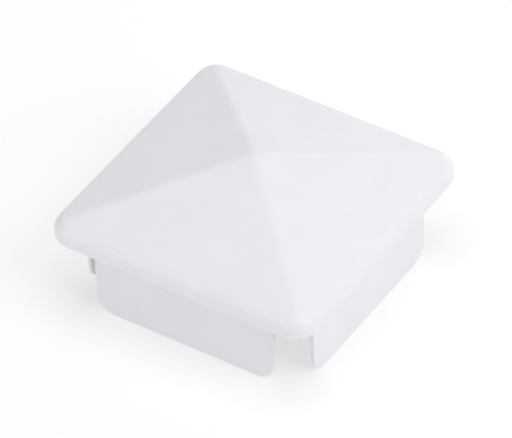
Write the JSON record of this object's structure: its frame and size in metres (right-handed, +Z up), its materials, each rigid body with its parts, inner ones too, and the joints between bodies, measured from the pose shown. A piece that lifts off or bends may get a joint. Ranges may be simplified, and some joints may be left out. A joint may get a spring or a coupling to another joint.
{
  "type": "fence post cap",
  "caption": "Pyramid cap that pushes into the open end of a square hollow fence post; its lip covers the cut edge and sprung side tabs grip the inside of the wall.",
  "frame": {"origin": "centre of the seat plane, where the post's cut end stops under the cap", "axes": "+Z up to the apex, -Z into the post; +X and +Y square to the tabs, with tab_front on -Y, tab_right on +X, tab_back on +Y and tab_left on -X"},
  "size_m": [0.1066, 0.1066, 0.0537],
  "materials": {
    "white_plastic": "satin, moulded, slightly cool white"
  },
  "bodies": {
    "crown": {"crown": "white_plastic"},
    "tab_front": {"tab_front": "white_plastic"},
    "tab_right": {"tab_right": "white_plastic"},
    "tab_back": {"tab_back": "white_plastic"},
    "tab_left": {"tab_left": "white_plastic"}
  },
  "joints": [
    {"name": "tab_front_flex", "type": "hinge", "parent": "crown", "child": "tab_front", "pos_m": [0, -0.04625, 0], "axis": [1, 0, 0], "range_deg": [-5, 5], "stiffness_Nm_per_rad": 4.1},
    {"name": "tab_right_flex", "type": "hinge", "parent": "crown", "child": "tab_right", "pos_m": [0.04625, 0, 0], "axis": [0, 1, 0], "range_deg": [-5, 5], "stiffness_Nm_per_rad": 4.1},
    {"name": "tab_back_flex", "type": "hinge", "parent": "crown", "child": "tab_back", "pos_m": [0, 0.04625, 0], "axis": [-1, 0, 0], "range_deg": [-5, 5], "stiffness_Nm_per_rad": 4.1},
    {"name": "tab_left_flex", "type": "hinge", "parent": "crown", "child": "tab_left", "pos_m": [-0.04625, 0, 0], "axis": [0, -1, 0], "range_deg": [-5, 5], "stiffness_Nm_per_rad": 4.1}
  ]
}
